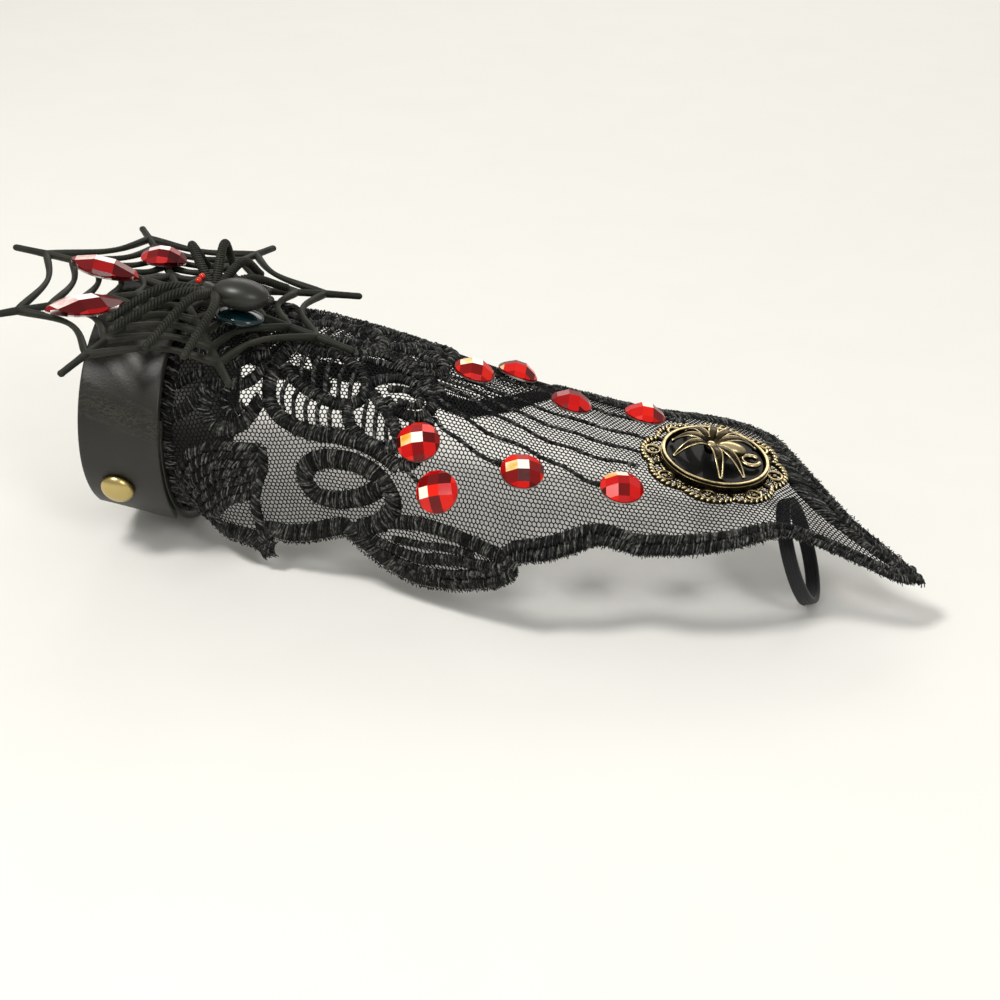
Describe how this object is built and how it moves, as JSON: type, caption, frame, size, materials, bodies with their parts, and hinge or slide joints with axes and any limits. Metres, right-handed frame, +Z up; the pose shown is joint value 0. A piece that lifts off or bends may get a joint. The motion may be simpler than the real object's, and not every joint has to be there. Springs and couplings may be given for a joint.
{
  "type": "lace cuff",
  "caption": "Lace cuff with a leather wrist strap, a metal web and spider, red cut stones, a filigree setting and an elastic finger loop.",
  "frame": {"origin": "middle of the wrist opening, halfway across the strap's width", "axes": "+X along the arm towards the fingers, +Z up from the back of the wrist, the little finger's side at -Y"},
  "size_m": [0.1841, 0.0742, 0.0577],
  "materials": {
    "black_leather": "smooth black leather with a soft sheen and fine creases",
    "antique_brass": "polished yellow brass, a little worn",
    "black_lace": "black tulle with satin-stitched embroidery",
    "black_elastic": "ribbed black elastic",
    "black_cast_metal": "satin black lacquer over cast metal",
    "red_stone": "chequer-cut red stone with a silver foil back",
    "bronze": "antique bronze with dark patina in the hollows",
    "black_glass": "polished black",
    "teal_glass": "polished dark teal glass",
    "eye_bead": "glossy orange-red"
  },
  "bodies": {
    "root": {"wrist_band": "black_leather", "band_stud": "antique_brass", "lace_panel": "black_lace", "lace_stone_1": "red_stone", "lace_stone_2": "red_stone", "lace_stone_3": "red_stone", "lace_stone_4": "red_stone", "lace_stone_5": "red_stone", "lace_stone_6": "red_stone", "lace_stone_7": "red_stone", "lace_stone_8": "red_stone", "filigree_setting": "bronze", "setting_disc": "black_glass", "charm_spider": "bronze", "web": "black_cast_metal", "web_spider": "black_cast_metal", "spider_pad": "teal_glass", "spider_eye_left": "eye_bead", "spider_eye_right": "eye_bead", "web_navette_1": "red_stone", "web_navette_2": "red_stone", "web_drop": "red_stone", "finger_loop": "black_elastic"}
  },
  "joints": []
}
